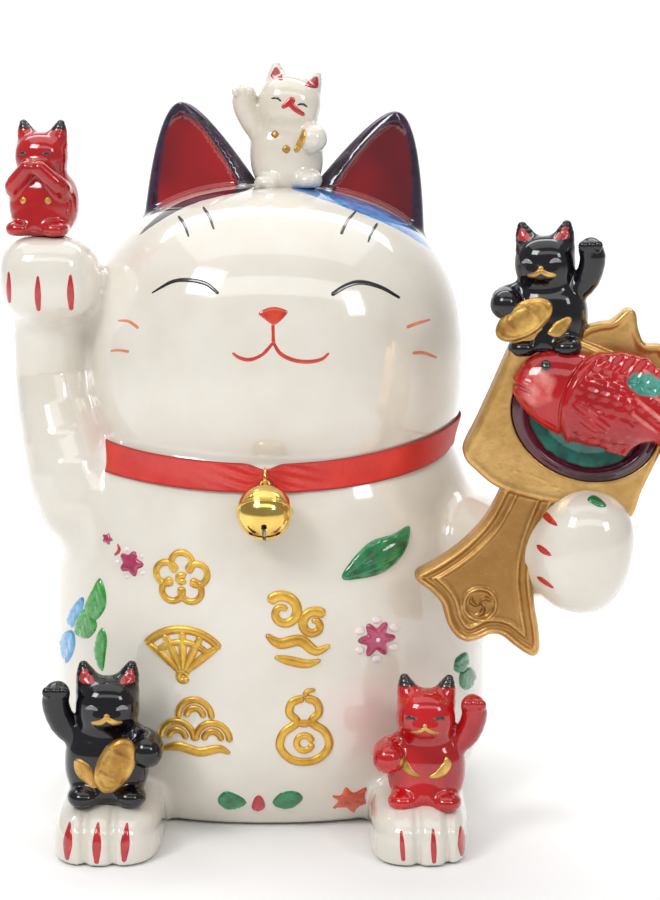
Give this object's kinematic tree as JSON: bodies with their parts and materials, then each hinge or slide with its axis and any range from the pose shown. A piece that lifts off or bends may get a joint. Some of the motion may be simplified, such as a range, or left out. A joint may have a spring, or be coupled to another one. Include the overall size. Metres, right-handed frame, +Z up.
{
  "type": "beckoning cat figurine",
  "caption": "Seated beckoning cat with closed eyes, one paw raised, small cats on its head, paw and feet, a gilded mallet with a fish, ribbon collar and swinging bell",
  "frame": {"origin": "on the floor under the middle of the figurine's overall footprint, mallet and tail included", "axes": "+Z up; -Y the way the cat faces; +X to the viewer's right, towards the mallet"},
  "size_m": [0.1516, 0.1118, 0.1675],
  "materials": {
    "white_glaze": "glossy clear glaze over cream-white porcelain",
    "ear_glaze": "glossy dark purple-black rim, deep red inside",
    "black_glaze": "glossy black glaze",
    "red_glaze": "glossy red glaze",
    "maroon_glaze": "glossy maroon glaze with a green floor",
    "gilding": "satin gold lustre fired over the glaze",
    "green_enamel": "raised glossy green enamel",
    "blue_enamel": "raised glossy blue enamel",
    "pink_enamel": "raised glossy pink and crimson enamel",
    "red_satin": "woven satin ribbon",
    "bell_brass": "polished and lacquered",
    "pellet_steel": "plain steel ball"
  },
  "bodies": {
    "cat": {"torso_shell": "white_glaze", "head_shell": "white_glaze", "left_ear": "ear_glaze", "right_ear": "ear_glaze", "raised_arm": "white_glaze", "holding_arm": "white_glaze", "left_foot": "white_glaze", "right_foot": "white_glaze", "tail": "white_glaze", "white_cat_on_head": "white_glaze", "red_cat_on_paw": "red_glaze", "red_cat_on_foot": "red_glaze", "black_cat_on_mallet": "black_glaze", "black_cat_on_foot": "black_glaze", "black_cat_coin_on_mallet": "gilding", "black_cat_coin_on_foot": "gilding", "lucky_mallet": "gilding", "fish_dish": "maroon_glaze", "sea_bream": "red_glaze", "gold_reliefs": "gilding", "leaf_reliefs": "green_enamel", "blue_leaf_relief": "blue_enamel", "flower_reliefs": "pink_enamel", "collar_ribbon": "red_satin", "collar_knot": "red_satin"},
    "loop": {"bell_loop": "bell_brass"},
    "bell": {"bell_upper_half": "bell_brass", "bell_lower_half": "bell_brass"},
    "pellet": {"bell_pellet": "pellet_steel"}
  },
  "joints": [
    {"name": "loop_swing", "type": "hinge", "parent": "cat", "child": "loop", "pos_m": [-0.0167, -0.0333, 0.0803], "axis": [-1, 0, 0], "range_deg": [0, 60]},
    {"name": "bell_sway", "type": "hinge", "parent": "loop", "child": "bell", "pos_m": [-0.0167, -0.03491, 0.07845], "axis": [0, 0.7546, -0.6562], "range_deg": [-35, 35]},
    {"name": "pellet_rattle", "type": "slide", "parent": "bell", "child": "pellet", "axis": [0, 0, 1], "range_m": [0, 0.0072]}
  ]
}
